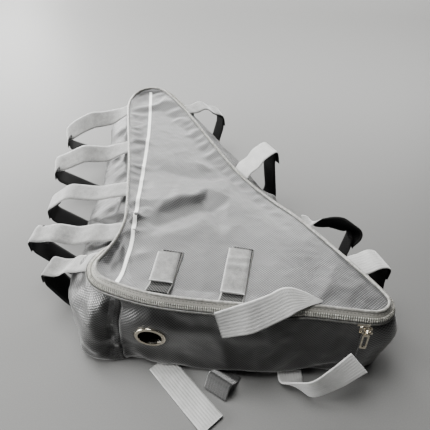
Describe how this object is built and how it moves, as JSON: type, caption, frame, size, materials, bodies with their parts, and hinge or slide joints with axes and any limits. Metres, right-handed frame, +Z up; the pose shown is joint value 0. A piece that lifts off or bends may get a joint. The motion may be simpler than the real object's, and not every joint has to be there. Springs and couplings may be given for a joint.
{
  "type": "bicycle frame bag",
  "caption": "Triangular soft bag for the inside of a bicycle frame, with a zipped lid, hook-and-loop frame straps and a cable grommet, lying on its back.",
  "frame": {"origin": "middle of the back panel's underside, which the bag lies on", "axes": "+X along the base towards the sharp corner, +Y towards the apex, +Z up through the lid"},
  "size_m": [0.4664, 0.5171, 0.1327],
  "materials": {
    "panel_fabric": "woven, slight sheen",
    "side_fabric": "woven, slight sheen",
    "piping": "satin",
    "pile_webbing": "matt",
    "hook_webbing": "matt",
    "ribbed_webbing": "ribbed",
    "zip_tape": "matt",
    "zip_coil": "satin",
    "nickel": "polished",
    "reflective": "satin"
  },
  "bodies": {
    "bag": {"back_panel": "panel_fabric", "grommet_flange": "nickel", "grommet_washer": "nickel", "gusset_base": "side_fabric", "gusset_base_eyelet_panel": "side_fabric", "gusset_left": "side_fabric", "gusset_long": "side_fabric", "left_loop_1_lower_strap": "hook_webbing", "left_loop_2_lower_strap": "hook_webbing", "left_loop_3_lower_strap": "hook_webbing", "left_loop_4_lower_strap": "hook_webbing", "left_loop_5_lower_strap": "hook_webbing", "long_loop_1_lower_strap": "hook_webbing", "long_loop_2_lower_strap": "hook_webbing", "long_loop_3_lower_strap": "hook_webbing", "long_loop_4_lower_strap": "hook_webbing", "zip_coil_lower": "zip_coil", "zip_tape_lower": "zip_tape"},
    "lid": {"front_panel": "panel_fabric", "front_piping": "piping", "reflective_strip": "reflective", "zip_tape_upper": "zip_tape", "zip_coil_upper": "zip_coil", "face_hook_strip_left": "hook_webbing", "face_hook_strip_right": "hook_webbing"},
    "slider": {"zip_slider": "nickel", "zip_slider_back_plate": "nickel"},
    "pull": {"zip_pull": "nickel"},
    "left_loop_1_peel": {"left_loop_1_upper_strap": "pile_webbing"},
    "left_loop_2_peel": {"left_loop_2_upper_strap": "pile_webbing"},
    "left_loop_3_peel": {"left_loop_3_upper_strap": "pile_webbing"},
    "left_loop_4_peel": {"left_loop_4_upper_strap": "pile_webbing"},
    "left_loop_5_peel": {"left_loop_5_upper_strap": "pile_webbing"},
    "long_loop_1_peel": {"long_loop_1_upper_strap": "pile_webbing"},
    "long_loop_2_peel": {"long_loop_2_upper_strap": "pile_webbing"},
    "long_loop_3_peel": {"long_loop_3_upper_strap": "pile_webbing"},
    "long_loop_4_peel": {"long_loop_4_upper_strap": "pile_webbing"},
    "face_strap_left": {"face_pile_strap_left": "pile_webbing"},
    "face_strap_right": {"face_pile_strap_right": "pile_webbing"},
    "folded_strap": {"base_strap_folded": "ribbed_webbing"},
    "floor_strap": {"base_strap_floor": "ribbed_webbing"},
    "stub_strap": {"base_strap_stub": "ribbed_webbing"},
    "twisted_strap": {"base_strap_twisted": "ribbed_webbing"}
  },
  "joints": [
    {"name": "lid_hinge", "type": "hinge", "parent": "bag", "child": "lid", "pos_m": [-0.07, 0.228, 0.105], "axis": [-0.6126, 0.7904, 0], "range_deg": [0, 100]},
    {"name": "zip_slide", "type": "slide", "parent": "bag", "child": "slider", "axis": [-1, 0, 0], "range_m": [0, 0.225]},
    {"name": "pull_swing", "type": "hinge", "parent": "slider", "child": "pull", "pos_m": [0.155, -0.1246, 0.097], "axis": [-1, 0, 0], "range_deg": [0, 100]},
    {"name": "left_loop_1_peel_joint", "type": "hinge", "parent": "bag", "child": "left_loop_1_peel", "pos_m": [-0.18011, 0.22527, 0.0886], "axis": [-0.2588, 0.9659, 0], "range_deg": [0, 60]},
    {"name": "left_loop_2_peel_joint", "type": "hinge", "parent": "bag", "child": "left_loop_2_peel", "pos_m": [-0.16214, 0.13283, 0.0886], "axis": [-0.1736, 0.9848, 0], "range_deg": [0, 60]},
    {"name": "left_loop_3_peel_joint", "type": "hinge", "parent": "bag", "child": "left_loop_3_peel", "pos_m": [-0.14946, 0.04864, 0.0886], "axis": [-0.0523, 0.9986, 0], "range_deg": [0, 60]},
    {"name": "left_loop_4_peel_joint", "type": "hinge", "parent": "bag", "child": "left_loop_4_peel", "pos_m": [-0.1418, -0.02242, 0.0886], "axis": [-0.0174, 0.9998, 0], "range_deg": [0, 60]},
    {"name": "left_loop_5_peel_joint", "type": "hinge", "parent": "bag", "child": "left_loop_5_peel", "pos_m": [-0.14871, -0.06452, 0.085], "axis": [0.2079, 0.9781, 0], "range_deg": [0, 60]},
    {"name": "long_loop_1_peel_joint", "type": "hinge", "parent": "bag", "child": "long_loop_1_peel", "pos_m": [-0.06538, 0.24548, 0.0975], "axis": [0.4967, -0.868, 0], "range_deg": [0, 40]},
    {"name": "long_loop_2_peel_joint", "type": "hinge", "parent": "bag", "child": "long_loop_2_peel", "pos_m": [0.03288, 0.1129, 0.0975], "axis": [0.6126, -0.7904, 0], "range_deg": [0, 25]},
    {"name": "long_loop_3_peel_joint", "type": "hinge", "parent": "bag", "child": "long_loop_3_peel", "pos_m": [0.11913, 0.01783, 0.095], "axis": [0.0659, -0.9978, 0], "range_deg": [0, 35]},
    {"name": "long_loop_4_peel_joint", "type": "hinge", "parent": "bag", "child": "long_loop_4_peel", "pos_m": [0.15699, -0.04473, 0.0975], "axis": [0.4349, -0.9005, 0], "range_deg": [0, 20]},
    {"name": "face_strap_left_peel", "type": "hinge", "parent": "lid", "child": "face_strap_left", "pos_m": [-0.0475, -0.048, 0.1074], "axis": [-1, 0, 0], "range_deg": [0, 150]},
    {"name": "face_strap_right_peel", "type": "hinge", "parent": "lid", "child": "face_strap_right", "pos_m": [0.0275, -0.035, 0.1074], "axis": [-1, 0, 0], "range_deg": [0, 150]},
    {"name": "folded_strap_lift", "type": "hinge", "parent": "lid", "child": "folded_strap", "pos_m": [0.0845, -0.1103, 0.1056], "axis": [-1, 0, 0], "range_deg": [0, 70]},
    {"name": "floor_strap_lift", "type": "hinge", "parent": "bag", "child": "floor_strap", "pos_m": [-0.04322, -0.13418, 0.0013], "axis": [-0.682, -0.7314, 0], "range_deg": [0, 50]},
    {"name": "stub_strap_lift", "type": "hinge", "parent": "bag", "child": "stub_strap", "pos_m": [0.02614, -0.13507, 0.0014], "axis": [-0.891, 0.454, 0], "range_deg": [0, 20]},
    {"name": "twisted_strap_fall", "type": "hinge", "parent": "bag", "child": "twisted_strap", "pos_m": [0.0955, -0.148, 0.0108], "axis": [1, 0, 0], "range_deg": [0, 50]}
  ]
}
